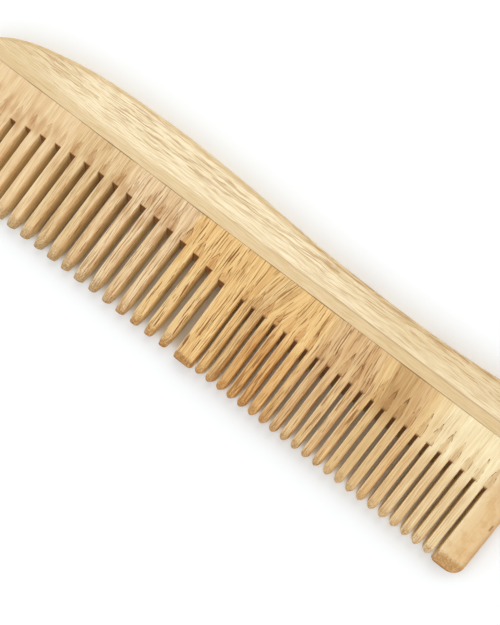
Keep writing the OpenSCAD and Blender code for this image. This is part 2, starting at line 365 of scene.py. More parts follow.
class ToothedBoard:
    """The toothed board's surfaces, as arrays over teeth or slots, rows and columns.

    What is one value for each tooth or slot is an array of that many rows and one column.
    """

    def __init__(self, sizes):
        self.sizes = sizes
        self.random = np.random.default_rng(SEED)
        self.middle, self.half, self.end, self.spread, self.run = slot_table(sizes)
        self.slots = len(self.middle)
        self.teeth = self.slots + 1
        self.left = TOOTH_LOW[:, :1] - ORIGIN[0]
        self.right = TOOTH_HIGH[:, :1] - ORIGIN[0]
        self.guard = np.zeros((self.teeth, 1), bool)
        self.guard[[0, -1]] = True
        self.wide = self.guard.copy()
        self.wide[DIVIDER] = True
        self.coarse = np.arange(self.teeth)[:, None] < DIVIDER
        self.leaning = self.coarse & ~self.wide
        self.run *= self.random.uniform(*SCOOP_STRAY, (self.slots, 1))
        self.columns()
        self.rows()

    def stray(self, limits):
        """A random number between the limits for each tooth."""
        return self.random.uniform(*limits, (self.teeth, 1))

    def columns(self):
        """Where the columns of a tooth stand: eased edge, face, eased edge."""
        inward, down = fillet(np.linspace(0, 1, EASE + 1))
        face = np.linspace(0, 1, FACE + 2)[1:-1]
        rest = FACE + EASE + 1
        self.across = np.concatenate([np.zeros(EASE + 1), face, np.ones(EASE + 1)])
        self.on_left = self.across < 0.5
        self.on_right = self.across > 0.5
        self.in_left = np.concatenate([inward, np.ones(rest)])
        self.in_right = np.concatenate([np.ones(rest), inward[::-1]])
        self.down_left = np.concatenate([down, np.zeros(rest)])
        self.down_right = np.concatenate([np.zeros(rest), down[::-1]])
        self.level = np.linspace(0, 1, WALL + 1)
        self.slot_share = np.linspace(-1, 1, SLOT + 1)

    def rows(self):
        """Height of each row above a slot's end, and how wide the scoop is there."""
        scoop = np.linspace(0, 1, SCOOP_ROWS) ** 0.9
        plain = np.linspace(0, 1, PLAIN_ROWS + 1)[1:]
        shut = np.zeros(PLAIN_ROWS)
        top = BOARD_TOP - GLUE_Y
        over = self.end + self.run
        self.front_y = np.concatenate(
            [self.end + self.run * scoop, over + (top - over) * plain], 1
        )
        slant = np.where(self.coarse[:-1], self.sizes.coarse_slant, self.sizes.fine_slant)
        self.back_y = self.front_y - slant * np.concatenate([(1 - scoop) ** 2, shut])

        # the slot's columns close up to a least width at the scoop's end, and spread again above
        least = 0.12
        again = 0.75
        taper = 1 - scoop**1.8
        self.open = self.spread * np.concatenate([taper, shut])
        self.reach = self.spread * np.concatenate(
            [blend(least, 1, taper), blend(least, again, ease_in(plain))]
        )

    def scoop_drop(self, aside, row_open, spread):
        """Depth of a scoop at a distance from its middle: a parabola as wide as the scoop."""
        deep = self.sizes.scoop_depth * (row_open / spread) ** 0.8
        return deep * np.maximum(0, 1 - (aside / np.maximum(row_open, TINY)) ** 2)

    def side_columns(self, slot, inward, rows):
        """Distance from the slot's middle, and depth, of an eased edge's columns on those rows."""
        near = (self.half / self.spread)[slot][..., None]
        aside = blend(near, 1, inward) * self.reach[slot][:, rows, None]
        spread = self.spread[slot][..., None]
        return aside, self.scoop_drop(aside, self.open[slot][:, rows, None], spread)

    def tooth_tops(self, rows):
        """X, Y in front, Y at the back and drop of the tooth columns on rows of the root strip."""
        before = np.maximum(np.arange(self.teeth) - 1, 0)
        after = np.minimum(np.arange(self.teeth), self.slots - 1)
        radius = self.sizes.edge_radius
        aside_l, drop_l = self.side_columns(before, self.in_left, rows)
        aside_r, drop_r = self.side_columns(after, self.in_right, rows)
        x_left = self.middle[before][..., None] + aside_l
        x_right = self.middle[after][..., None] - aside_r
        x_left[0] = self.left[0] + radius * self.in_left
        drop_l[0] = radius * self.down_left
        x_right[-1] = self.right[-1] - radius * self.in_right
        drop_r[-1] = radius * self.down_right
        x = blend(x_left, x_right, self.across)
        share = (x[:, :1] - self.left[..., None]) / (self.right - self.left)[..., None]
        front, back = (
            blend(row_y[before][:, rows, None], row_y[after][:, rows, None], share)
            for row_y in (self.front_y, self.back_y)
        )
        return x, front, back, drop_l * self.on_left + drop_r * self.on_right

    def slot_tops(self):
        """X, Y in front, Y at the back and drop of the slot columns on rows of the root strip."""
        near = (self.half / self.spread)[..., None]
        aside = near * self.slot_share * self.reach[..., None]
        x = self.middle[..., None] + aside
        drop = self.scoop_drop(aside, self.open[..., None], self.spread[..., None])
        front, back = (np.broadcast_to(y[..., None], x.shape) for y in (self.front_y, self.back_y))
        return x, front, back, drop

    def root_strip(self, skin):
        """Front, back, ends and glue face of the strip above the slots, and the slots' ends."""
        tooth = self.tooth_tops(slice(None))
        slot = self.slot_tops()
        scoops = [np.clip(part[3] / self.sizes.scoop_depth, 0, 1) for part in (tooth, slot)]

        # the guards' eased outer edges are no scoops
        scoops[0][0] *= self.on_right
        scoops[0][-1] *= self.on_left
        for (x, front, back, drop), scoop in zip((tooth, slot), scoops):
            skin.add(x, front, THICK - drop, scoop=scoop)
            skin.add(x, back, drop, flip=True, scoop=scoop)
            self.wall(skin, x[:, -1], front[:, -1], back[:, -1], drop[:, -1])
        self.wall(skin, *(part[:, 0] for part in slot), cut=1.0, burnt=1.0)
        for end in (0, -1):
            self.wall(skin, *(part[end, :, end] for part in tooth))

    def wall(self, skin, x, front, back, drop, **values):
        """Adds the wall between a line of points on the front and the one behind it."""
        x, front, back, drop = (line[..., None] for line in (x, front, back, drop))
        skin.add(x, blend(back, front, self.level), blend(drop, THICK - drop, self.level), **values)

    def teeth_surfaces(self, skin):
        """Front, back, walls and end of every tooth, guard and divider."""
        root = self.tooth_tops(slice(0, 1))
        self.root_x, self.root_front, self.root_back, self.root_drop = (part[:, 0] for part in root)
        self.root_y = self.root_front.mean(1, keepdims=True)
        self.tips()
        self.sides()
        self.thickness()
        front, back, drop = self.faces()
        # the right bevel is painted darker as shade, where it turns from the light
        bevel = np.clip(drop * self.on_right / BEVEL_DROP, 0, 1)
        # painted highlight along each tooth's left eased edge, growing in below the root
        rim = self.down_left * self.on_left * ease_in(self.below_root / RIM_SETTLES)[..., None]

        # a facet takes its colour over its first third and deepens over its last eighth;
        # a fine tooth is darkened over more than its tip
        rubbed_and_edge_shade = 0.7 * np.clip(self.on_facet * 3, 0, 1) + 0.3 * np.clip(self.on_facet * 8 - 7, 0, 1)
        # the tips' darkening is partly painted shade where they round away and partly end grain
        dark = np.where(self.coarse, self.tip, 1.8 * self.tip)
        darkened = 0.8 * np.clip(1 - self.left_to_tip / dark, 0, 1)
        face_ends, wall_ends = (
            np.where(self.wide, facet, darkened)[..., None] for facet in (rubbed_and_edge_shade, self.on_facet**2)
        )
        skin.add(*front, flip=True, bevel=bevel, rim=rim, tip=face_ends)
        skin.add(*back, tip=face_ends)
        between = blend(back[..., None], front[..., None], self.level)
        for column, flip in ((0, True), (-1, False)):
            sawn = np.ones((self.teeth, 1, 1))
            sawn[column] = 0
            skin.add(*between[..., column, :], flip=flip, cut=sawn, tip=wall_ends)
        skin.add(*between[:, :, -1], tip=1.0)

    def tips(self):
        """Distances along each tooth, and its tip's narrowing: a power of the way down the tip."""
        sizes = self.sizes
        short = np.where(self.leaning, self.stray(SHORT_STRAY), 0)
        self.tip_y = TOOTH_LOW[:, 1:2] - ORIGIN[1] + short
        length = self.root_y - self.tip_y
        self.share = self.tooth_rows(length)
        self.left_to_tip = length * (1 - self.share)
        self.below_root = length * self.share
        self.tip = np.where(self.coarse, sizes.coarse_tip, sizes.fine_tip) * self.stray(TIP_STRAY)
        down_tip = np.clip(1 - self.left_to_tip / self.tip, 0, 1)
        self.narrowed = down_tip ** np.where(self.coarse, *POINT_POWER)

    def tooth_rows(self, length):
        """Share of the way down each tooth, dense at the root and along the tip."""
        start = 1 - self.sizes.coarse_tip * 1.05 / length
        body = np.linspace(0, 1, TOOTH_ROWS + 1)[:-1] ** 1.35
        tip = np.sin(np.linspace(0, 1, TIP_ROWS + 1) * math.pi / 2)
        return np.concatenate([start * body, blend(start, 1, tip)], 1)

    def sides(self):
        """X of each side: drawn in to a blunt end, or round a corner on the guards and divider."""
        sizes = self.sizes
        blunt = np.where(self.coarse, sizes.coarse_blunt, sizes.fine_blunt)
        blunt = blunt * self.stray(BLUNT_STRAY)
        uneven = np.where(self.wide, 0, self.stray(SIDE_STRAY))
        self.rounded = self.round_corner(np.where(self.coarse, *TIP_CORNER))
        narrow = (self.right - self.left - blunt) / 2 * self.narrowed + self.rounded
        corner = self.round_corner(WIDE_CORNER)
        outer = self.round_corner(sizes.corner_radius)
        narrow_l = np.where(self.wide, corner, narrow * (1 + uneven))
        narrow_r = np.where(self.wide, corner, narrow * (1 - uneven))
        narrow_l[0] = outer[0]
        narrow_r[-1] = outer[-1]
        self.x_left = self.left + narrow_l
        self.x_right = self.right - narrow_r

    def thickness(self):
        """Thickness of each row: even, then thinning by a power, then along the tip or a facet."""
        sizes = self.sizes
        y = self.tip_y + self.left_to_tip
        run = -sizes.thin_from - self.tip_y - sizes.coarse_tip
        fall = np.clip((-sizes.thin_from - y) / run, 0, 1) ** 1.2
        thick = blend(THICK, sizes.tip_thick, fall)
        tip_thick = sizes.tip_end * self.stray(THICK_STRAY)
        facet = np.where(self.guard, sizes.guard_facet, sizes.divider_facet)
        self.on_facet = np.clip(1 - self.left_to_tip / facet, 0, 1)
        cut_off = blend(thick, sizes.facet_thick, self.on_facet)
        cut_off = cut_off - 2 * self.round_corner(FACET_CORNER)
        pointed = blend(thick, tip_thick, self.narrowed) - self.rounded
        self.thick = np.where(self.wide, cut_off, pointed)

    def round_corner(self, radius):
        """How far a corner of that radius stands back, by the distance left to the end."""
        inside = np.clip(radius - self.left_to_tip, 0, None)
        return radius - np.sqrt(np.maximum(radius**2 - inside**2, 0))

    def faces(self):
        """Points of the front and the back, and the front's drop.

        In front a tooth has a narrow ease on its left and a wide bevel on its right, behind
        it has two small ones; the last numbers say how deep each is for its width.
        """
        ease_l = self.stray(LEFT_EASE)
        ease_r = self.stray(RIGHT_EASE)
        ease_l[DIVIDER], ease_r[DIVIDER] = DIVIDER_EASE
        behind = self.stray(BACK_EASE)
        x, y, drop = self.face(self.root_front, (ease_l, ease_r), (0.7, 1.5))
        x_back, y_back, drop_back = self.face(self.root_back, (behind, behind), (2.0, 2.0))
        front = np.stack([x, y, (THICK + self.thick)[..., None] / 2 - drop])
        back = np.stack([x_back, y_back, (THICK - self.thick)[..., None] / 2 + drop_back])
        return front, back, drop

    def face(self, root_y, ease, deep):
        """X, Y and drop of one face, settled from the root strip's columns to the tooth's own."""
        x, drop = self.eased(ease, deep)
        y = blend(root_y[:, None, :], self.tip_y[..., None], self.share[..., None])
        lean = np.where(self.leaning, self.sizes.coarse_lean, 0.0)
        x = x + lean[..., None] * (y - self.root_y[..., None])
        x, drop = (
            blend(root[:, None, :], own, ease_in(self.below_root / length)[..., None])
            for root, own, length in (
                (self.root_x, x, SIDES_SETTLE), (self.root_drop, drop, DROP_SETTLES)
            )
        )
        return x, y, drop

    def eased(self, ease, deep):
        """X and drop of a tooth's columns, whose eased edges grow from the scoop's width."""
        sizes = self.sizes
        grown = ease_in(self.below_root / EASE_SETTLES)
        at_slot = np.where(self.coarse, sizes.coarse_spread, sizes.fine_spread)
        limit = EASE_WIDTH * (self.x_right - self.x_left)
        inward = []
        down = []
        for guard, side_ease, side_deep in zip((0, -1), ease, deep):
            width = np.minimum(blend(at_slot, side_ease, grown), limit)
            fall = np.minimum(width * side_deep, self.thick * EASE_DEPTH)
            width[guard] = np.minimum(sizes.edge_radius, limit[guard])
            fall[guard] = np.minimum(sizes.edge_radius, self.thick[guard] * GUARD_DEPTH)
            inward.append(width[..., None])
            down.append(fall[..., None])
        x_left = self.x_left[..., None] + inward[0] * self.in_left
        x_right = self.x_right[..., None] - inward[1] * self.in_right
        drop = down[0] * self.down_left + down[1] * self.down_right
        return blend(x_left, x_right, self.across), drop


class COMB_OT_toothed_board(bpy.types.Operator):
    """Build the sawn board with its coarse teeth, divider, fine teeth and guards"""

    bl_idname = "comb.toothed_board"
    bl_label = "Toothed board"

    def execute(self, context):
        board = ToothedBoard(context.scene.comb_sizes)
        skin = Skin(("scoop", "cut", "burnt", "bevel", "rim", "tip"))
        board.root_strip(skin)
        board.teeth_surfaces(skin)
        wood = BoardWood(context.scene.comb_tones)
        make_piece("toothed_board", skin, wood.material, ["tooth_board"] + TEETH)
        return {"FINISHED"}


# Free height of the spine board above the glue line, in metres, as the photograph shows it
# Each pair: X from the divider, height of the outline
SPINE = np.array([
    [-0.104, 0.0065], [-0.094, 0.0080], [-0.088, 0.00905], [-0.082, 0.01035],
    [-0.076, 0.01155], [-0.070, 0.0125], [-0.064, 0.01315], [-0.056, 0.01365],
    [-0.046, 0.01393], [-0.036, 0.01402], [-0.026, 0.0137], [-0.016, 0.01325],
    [-0.006, 0.01258], [0.004, 0.01185], [0.014, 0.0112], [0.024, 0.01088],
    [0.034, 0.01068], [0.044, 0.01062], [0.054, 0.01088], [0.064, 0.0114],
    [0.074, 0.0123], [0.084, 0.0134], [0.096, 0.0146],
])

# Lengths over which the spine's two ends are rounded down, and points along its outline
# and rows over its rim and its faces
LEFT_FADE = 0.0156
RIGHT_FADE = 0.0154
END_POINTS = 40
CURVE_POINTS = 220
RIM_ROWS = 6
SPINE_ROWS = 12


def free_rise(x):
    """Smooth curve through the spine's table: a cubic over each step, sloped by its neighbours."""
    at, rise = SPINE.T
    last = len(at) - 1
    before = np.maximum(np.arange(last + 1) - 1, 0)
    after = np.minimum(np.arange(last + 1) + 1, last)
    slope = (rise[after] - rise[before]) / (at[after] - at[before])
    i = np.clip(np.searchsorted(at, x) - 1, 0, last - 1)
    step = at[i + 1] - at[i]
    t = (x - at[i]) / step
    return (
        (2 * t**3 - 3 * t**2 + 1) * rise[i]
        + (t**3 - 2 * t**2 + t) * step * slope[i]
        + (3 * t**2 - 2 * t**3) * rise[i + 1]
        + (t**3 - t**2) * step * slope[i + 1]
    )


def spine_outline():
    """Points of the spine's free edge: a quarter ellipse, the curve, a quarter ellipse."""
    start = LOW[0] - ORIGIN[0]
    stop = HIGH[0] - ORIGIN[0]
    turn = np.linspace(0, math.pi / 2, END_POINTS)[:-1]
    left = start + LEFT_FADE * (1 - np.cos(turn))
    right = stop - RIGHT_FADE * (1 - np.cos(turn[::-1]))
    middle = np.linspace(start + LEFT_FADE, stop - RIGHT_FADE, CURVE_POINTS)
    x = np.concatenate([left, middle, right])
    fade = np.concatenate([np.sin(turn), np.ones(len(middle)), np.sin(turn[::-1])])
    return x, free_rise(x) * fade


def spine_surfaces(skin, radius):
    """The spine board's rim, faces and glue face.

    The rim carries two quarter rounds along the outline, pulled inward along its normal,
    and the faces and the glue face are ruled between the rim's edges and the glue line.
    """
    x, y = spine_outline()
    along_x = np.gradient(x)
    along_y = np.gradient(y)
    run = np.hypot(along_x, along_y)
    out_x = -along_y / run
    out_y = along_x / run
    out_x[[0, -1]] = -1, 1
    out_y[[0, -1]] = 0
    foot = SPINE_FOOT - GLUE_Y

    inward, down = fillet(np.linspace(0, 1, RIM_ROWS + 1))
    stand = radius * np.concatenate([down, down[::-1]])
    level = np.concatenate([THICK - radius * inward, radius * inward[::-1]])
    rim_x = x[:, None] - out_x[:, None] * stand
    rim_y = foot + np.maximum(y[:, None] - out_y[:, None] * stand, 0)
    skin.add(rim_x, rim_y, level, edge=1 - stand / radius)

    face_y = blend(foot, rim_y[:, :1], np.linspace(0, 1, SPINE_ROWS + 1))
    skin.add(rim_x[:, :1], face_y, THICK)
    skin.add(rim_x[:, -1:], face_y, 0.0, flip=True)
    place = np.linspace(0, 1, len(x))[:, None]
    foot_x = rim_x[:, :1] + (radius - stand) * (2 * place - 1)
    skin.add(foot_x, foot, level, flip=True)


class COMB_OT_spine_board(bpy.types.Operator):
    """Build the spine board: a flat board inside an S-shaped outline with a rounded edge"""

    bl_idname = "comb.spine_board"
    bl_label = "Spine board"

    def execute(self, context):
        skin = Skin(("edge",))
        spine_surfaces(skin, context.scene.comb_sizes.edge_radius)
        wood = spine_wood(context.scene.comb_tones)
        make_piece("spine_board", skin, wood.material, ["spine"])
        return {"FINISHED"}


# Millimetres in a metre, and how far in millimetres a ramp reaches either side of the divider
MM = 1000
RAMP_REACH = 100


class Nodes:
    """A node tree, with calls that each give a number, a colour or a vector of it."""

    def __init__(self, tree):
        self.tree = tree

    def feed(self, socket, value):
        """Links an output to a socket, or sets the socket to a plain value."""
        if isinstance(value, bpy.types.NodeSocket):
            self.tree.links.new(value, socket)
        else:
            socket.default_value = value

    def add(self, kind, inputs=None, **settings):
        """A new node with those settings, and inputs given by name or by place in the list."""
        node = self.tree.nodes.new("ShaderNode" + kind)
        for name, value in settings.items():
            setattr(node, name, value)
        for key, value in (inputs or {}).items():
            self.feed(node.inputs[key], value)
        return node

    def split(self, vector):
        """X, Y and Z of a vector."""
        return tuple(self.add("SeparateXYZ", {"Vector": vector}).outputs)

    def join(self, x, y, z):
        """A vector of three numbers."""
        return self.add("CombineXYZ", {"X": x, "Y": y, "Z": z}).outputs[0]

    def step(self, operation, first, second=0, third=0):
        """One arithmetic step."""
        return self.add("Math", {0: first, 1: second, 2: third}, operation=operation).outputs[0]

    def times(self, first, *others):
        """Product of the numbers."""
        for other in others:
            first = self.step("MULTIPLY", first, other)
        return first

    def plus(self, first, *others):
        """Total of the numbers."""
        for other in others:
            first = self.step("ADD", first, other)
        return first

    def less(self, first, second):
        """First number less the second."""
        return self.step("SUBTRACT", first, second)

    def apart(self, value, place):
        """Distance of a number from a place."""
        return self.step("ABSOLUTE", self.less(value, place))

    def swing(self, share, reach):
        """A share from 0 to 1 turned into a swing of half the reach either way."""
        return self.times(self.less(share, 0.5), reach)

    def range(self, value, low, high, to_low=0, to_high=1):
        """Value mapped smoothly from low..high to to_low..to_high, and held outside."""
        ends = {"From Min": low, "From Max": high, "To Min": to_low, "To Max": to_high}
        node = self.add("MapRange", {"Value": value, **ends}, interpolation_type="SMOOTHSTEP")
        return node.outputs[0]

    def fall(self, value, low, high):
        """1 up to low, smoothly down to 0 at high."""
        return self.range(value, low, high, 1, 0)

    def noise(self, vector, stretch, detail=2, roughness=0.5, offset=0):
        """Noise from 0 to 1 whose features repeat stretch times per millimetre along each axis."""
        move = {"Vector": vector, "Location": (offset, offset, offset), "Scale": stretch}
        moved = self.add("Mapping", move).outputs[0]
        looks = {"Vector": moved, "Scale": 1, "Detail": detail, "Roughness": roughness}
        return self.add("TexNoise", looks).outputs[0]

    def ramp(self, place, stops):
        """Colour or number by place along the comb, between stops given as (place, value)."""
        node = self.add("ValToRGB")
        elements = node.color_ramp.elements
        while len(elements) < len(stops):
            elements.new(0.5)
        for element, (at, value) in zip(elements, stops):
            element.position = (at + RAMP_REACH) / (2 * RAMP_REACH)
            element.color = value if hasattr(value, "__len__") else (value, value, value, 1)
        share = self.step("DIVIDE", self.less(place, -RAMP_REACH), 2 * RAMP_REACH)
        self.feed(node.inputs[0], share)
        return node.outputs[0]

    def mix(self, share, first, second, mode="MIX"):
        """Two colours mixed by share."""
        node = self.add("Mix", {"Factor": share}, data_type="RGBA", blend_type=mode)
        for name, value in (("A", first), ("B", second)):
            socket = next(s for s in node.inputs if s.name == name and s.type == "RGBA")
            self.feed(socket, value)
        return next(s for s in node.outputs if s.type == "RGBA")

    def value(self, name):
        """A named value stored on the mesh."""
        return self.add("Attribute", attribute_name=name).outputs["Fac"]

    def bump(self, height, distance, strength):
        """Normal of a surface raised by height times distance."""
        inputs = {"Height": height, "Distance": distance, "Strength": strength}
        return self.add("Bump", inputs).outputs[0]


class Recipe(Nodes):
    """A material made of coats over a first shade, laid by place in millimetres."""

    def __init__(self, name):
        self.material = bpy.data.materials.new(name)
        self.material.use_nodes = True
        super().__init__(self.material.node_tree)
        self.tree.nodes.clear()
        output = self.add("OutputMaterial")
        self.shader = self.add("BsdfPrincipled")
        self.feed(output.inputs[0], self.shader.outputs[0])
        found = self.add("TexCoord").outputs["Object"]
        move = {"Vector": found, "Location": tuple(-MM * ORIGIN), "Scale": (MM, MM, MM)}
        self.place = self.add("Mapping", move).outputs[0]
        self.x, self.y, self.z = self.split(self.place)

    def coat(self, share, tone):
        """Lays a tone over the shade so far."""
        self.shade = self.mix(share, self.shade, tone)

    def stain(self, share, tone):
        """Multiplies the shade so far by a tone."""
        self.shade = self.mix(share, self.shade, tone, "MULTIPLY")

    def glue_line(self, near, share, tone):
        """Dark line where the board is near the joint, broken where the joint is tight."""
        tight = self.noise(self.join(self.x, 0, 0), (0.07, 1, 1), offset=2)
        self.coat(self.times(near, self.range(tight, 0.42, 0.6), share), tone)

    def finish(self, roughness, normal):
        """Gives the shader its colour, roughness, normal and faint sheen."""
        looks = {"Base Color": self.shade, "Roughness": roughness, "Normal": normal}
        for name, value in looks.items():
            self.feed(self.shader.inputs[name], value)
        self.shader.inputs["Specular IOR Level"].default_value = 0.28


# Places in millimetres from the divider or the glue line, as the start and the end of a change:
# towards the orange stretch, from the coarse half to the fine, onto the right guard's plain
# wood and its face, and from the teeth up to the root strip
TO_ORANGE = (-26, -16)
TO_FINE = (2, 4)
TO_PLAIN = (80, 83)
TO_GUARD = (81, 83)
TO_STRIP = (-17, -11.5)

# Stops along the comb, each a place and a number: the grain's lean (0.5 is upright), how
# open the grain is, how dark the teeth are by handling, how faded, and how golden the tips
LEAN = [
    (3, 0.5), (9, 0.22), (13, 0.2), (22, 0.5), (36, 0.56), (45, 0.66), (56, 0.6), (64, 0.5),
]
OPEN_GRAIN = [
    (-100, 0.15), (-62, 0.3), (-56, 0.55), (-40, 0.65), (-20, 0.8), (-18.5, 1), (4, 1),
    (9, 0.78), (26, 0.78), (30, 0.9), (42, 0.85), (50, 0.5), (60, 0.4), (70, 0.25), (80, 0.25),
    (84, 0.1),
]
HANDLED = [
    (4, 0), (8, 0.12), (13, 0.45), (22, 0.4), (30, 0.1), (36, 0), (56, 0), (63, 0.38),
    (80, 0.32), (83, 0),
]
FADED = [
    (-40, 0.1), (-20, 0.2), (-17, 0.5), (-5, 0.65), (-3, 0), (30, 0), (36, 0.35), (44, 0.1),
    (48, 0.6), (55, 0.4), (59, 0),
]
GOLDEN = [
    (-82, 1), (-80, 0), (-30, 0), (-19, 1), (14, 1), (36, 0.3), (80, 0.2), (82, 1),
]


class BoardWood(Recipe):
    """Wood with its grain along the teeth, in stretches of different tones along the comb."""

    def __init__(self, tones):
        super().__init__("board_wood")
        self.tones = tones
        self.lower = self.fall(self.y, *TO_STRIP)
        self.lay_grain()
        self.lay_fibres()
        self.tint_teeth()
        self.mark_guards()
        self.spread_stains()
        self.open_pores()
        self.work_edges()
        self.darken_tips()
        self.glue_line(self.range(self.y, -0.28, -0.03), 0.7, tones.glue)
        relief = self.less(self.times(self.fibre, 0.35), self.pore)
        roughness = self.range(self.fibre, 0.2, 0.8, 0.5, 0.68)
        self.finish(roughness, self.bump(relief, 0.00006, 0.6))

    def lay_grain(self):
        """Grain that leans one way or the other and wanders, and stretches of tone across it."""
        tones = self.tones
        lean = self.swing(self.ramp(self.x, LEAN), self.step("MAXIMUM", self.y, -11))
        wander = self.swing(self.noise(self.place, (0.16, 0.035, 0.16)), 1.5)
        self.across = self.plus(self.x, lean, wander)
        self.grain = self.join(self.across, self.y, self.z)
        self.open_grain = self.ramp(self.across, OPEN_GRAIN)
        self.shade = self.ramp(self.across, [
            (-62, tones.peach), (-59, tones.tan), (-43, tones.tan), (-40, tones.cream),
            (-19.6, tones.cream), (-18.9, tones.orange), (6, tones.orange), (11, tones.straw),
            (16, tones.orange), (25, tones.orange), (28, tones.brown), (42.4, tones.brown),
            (43.2, tones.straw), (45.4, tones.straw), (46.2, tones.dark), (51.5, tones.dark),
            (57, tones.brown), (58, tones.straw), (66, tones.pale), (80, tones.pale),
            (85, tones.brown),
        ])

    def lay_fibres(self):
        """Growth bands, then dark fibres, stronger where the grain is open or on the teeth."""
        x = self.x
        growth = self.noise(self.grain, (0.6, 0.015, 0.3), 3, 0.6)
        growth = self.range(growth, 0.35, 0.7, 0, 0.3)
        self.stain(self.times(growth, self.range(x, *TO_PLAIN, 1, 0.3)), self.tones.cut)
        self.fibre = self.noise(self.grain, (3.4, 0.07, 1.6), 4, 0.72, 3)
        on_teeth = self.times(
            self.lower, self.range(x, 24, 34, 0.25, 0.6), self.fall(x, *TO_PLAIN)
        )
        strong = self.plus(self.open_grain, on_teeth, self.range(x, -30, -18, 0.15, 0))
        self.stain(self.times(
            self.range(self.fibre, 0.43, 0.58), strong, self.range(self.y, *TO_STRIP, 0.5, 0.46)
        ), self.tones.fibre)

    def tint_teeth(self):
        """Teeth darker than the strip above them beside the middle and at the right, or paler."""
        self.stain(self.times(self.ramp(self.x, HANDLED), self.lower), self.tones.cut)
        self.coat(self.times(self.ramp(self.x, FADED), self.lower), self.tones.straw)

    def mark_guards(self):
        """Soft blotches on the right guard, painted shade on both guards' rounded outer edges, and a
        brown fleck.
        """
        x = self.x
        blotch = self.noise(self.place, (0.34, 0.3, 0.3), 3, 0.6, 27)
        blotch = self.range(blotch, 0.4, 0.65, 0, 0.28)
        self.stain(self.times(blotch, self.range(x, *TO_GUARD)), self.tones.cut)
        first, last = (MM * (end[0] - ORIGIN[0]) for end in (LOW, HIGH))
        # painted shade where the guards' outer edges round away from the light
        rubbed_and_edge_shade = self.plus(
            self.range(x, last - 1.9, last - 0.5), self.fall(x, first + 0.5, first + 1.9)
        )
        self.coat(self.times(rubbed_and_edge_shade, 0.33), self.tones.burnt)
        wide = self.fall(self.apart(x, last - 1.3), 0.1, 0.4)
        tall = self.fall(self.apart(self.y, -19.6), 0.5, 1.2)
        self.coat(self.times(wide, tall, 0.7), self.tones.pore)

    def spread_stains(self):
        """Soft brown stains over the coarse slots, faint towards the glue line."""
        blotch = self.noise(self.place, (0.42, 0.13, 0.3), offset=31)
        self.stain(self.times(
            self.range(blotch, 0.42, 0.7, 0, 0.52),
            self.range(self.x, *TO_ORANGE, 1, 0.3),
            self.range(self.y, -7, -3, 1, 0.25),
            self.less(1, self.lower),
        ), self.tones.fibre)

    def open_pores(self):
        """Thin dark lines in bundles, close together where the grain is open."""
        x = self.x
        bundle = self.noise(self.grain, (0.42, 0.012, 0.3), 2, 0.6, 17)
        bundle = self.range(bundle, 0.38, 0.62, -0.05, 0.035)
        bundle = self.plus(bundle, self.range(self.apart(self.across, 12.2), 0.2, 1.1, 0.07, 0))
        on_teeth = self.times(
            self.lower, self.range(x, 26, 32, 0.02, 0), self.range(x, -20, -16)
        )
        pore = self.noise(self.grain, (3.3, 0.12, 1.3), 2, 0.55, 11)
        pore = self.plus(pore, self.times(bundle, self.open_grain), on_teeth)
        self.pore = self.times(self.range(pore, 0.58, 0.61), self.open_grain)
        dark = self.range(self.open_grain, 0.3, 0.9)
        self.coat(
            self.times(self.pore, 0.92), self.mix(dark, self.tones.end_grain, self.tones.pore)
        )

    def work_edges(self):
        """Scoops with a ragged rim and chips, painted shade on the bevels, sawn walls, a painted
        highlight on the left edges, and slot ends partly painted as shade.
        """
        x = self.x
        tones = self.tones
        scoop = self.value("scoop")
        ragged = self.noise(self.place, (0.5, 0.35, 0.5), 2, 0.6, 8)
        rim = self.times(
            self.range(scoop, 0, 0.05),
            self.fall(scoop, 0.1, 0.45),
            self.range(ragged, 0.45, 0.62, 0.05, 0.8),
            self.range(x, *TO_ORANGE, 0.45, 1),
        )
        chip = self.times(
            self.range(ragged, 0.52, 0.56),
            self.range(x, 40, 58),
            self.range(scoop, 0.02, 0.1),
            self.fall(scoop, 0.25, 0.6),
            self.range(self.y, -9.5, -8.5),
            0.8,
        )
        self.stain(self.times(scoop, 0.27), tones.cut)
        self.coat(rim, tones.pore)
        self.coat(chip, tones.glue)
        # painted shade on each tooth's right bevel
        self.stain(self.times(self.value("bevel"), 0.4), tones.cut)
        self.coat(self.times(self.value("cut"), self.range(x, *TO_FINE, 0.5, 0.85)), tones.sawn)
        # painted highlight on each tooth's left eased edge
        self.coat(self.times(self.value("rim"), 0.85), tones.edge_highlight)
        # the slot ends are painted dark brown, partly as the saw's burn and partly as painted shade
        # deep in the slots, darker still in the fine half
        burnt = self.times(self.value("burnt"), self.range(self.z, 0, 5, 0.55, 0.96))
        darker_in_fine_half = self.range(x, *TO_FINE, 0, 0.4)
        self.coat(burnt, self.mix(darker_in_fine_half, tones.burnt, tones.burnt, "MULTIPLY"))

    def darken_tips(self):
        """Tips painted darker, partly as shade where the teeth round away and partly as end grain,
        golden near the middle and on the guards, with specks and pits.
        """
        x = self.x
        tones = self.tones
        tip = self.value("tip")
        golden = self.ramp(x, GOLDEN)
        speck = self.noise(self.place, (2.4, 1.6, 2.4), 3, 0.6, 5)
        dark = self.plus(self.times(tip, 1.35), self.range(speck, 0.35, 0.65, -0.25, 0.25))
        dark = self.times(
            self.range(dark, 0, 1.3, 0, 0.9),
            self.range(tip, 0, 0.2),
            self.step("MAXIMUM", golden, self.range(x, 36, 52, 1, 0.75)),
        )
        self.coat(dark, self.mix(golden, tones.tip_shade_and_grain, tones.end_grain))
        pit = self.noise(self.place, (2.6, 2, 2.6), offset=21)
        pit = self.range(self.step("MULTIPLY_ADD", golden, 0.05, pit), 0.55, 0.63)
        self.coat(self.times(tip, pit, self.range(x, *TO_GUARD, 0.9, 0.2)), tones.pore)
        brink = self.times(self.range(tip, 0.7, 0.85), self.range(speck, 0.35, 0.6, 0.25, 0.55))
        self.coat(brink, tones.pore)


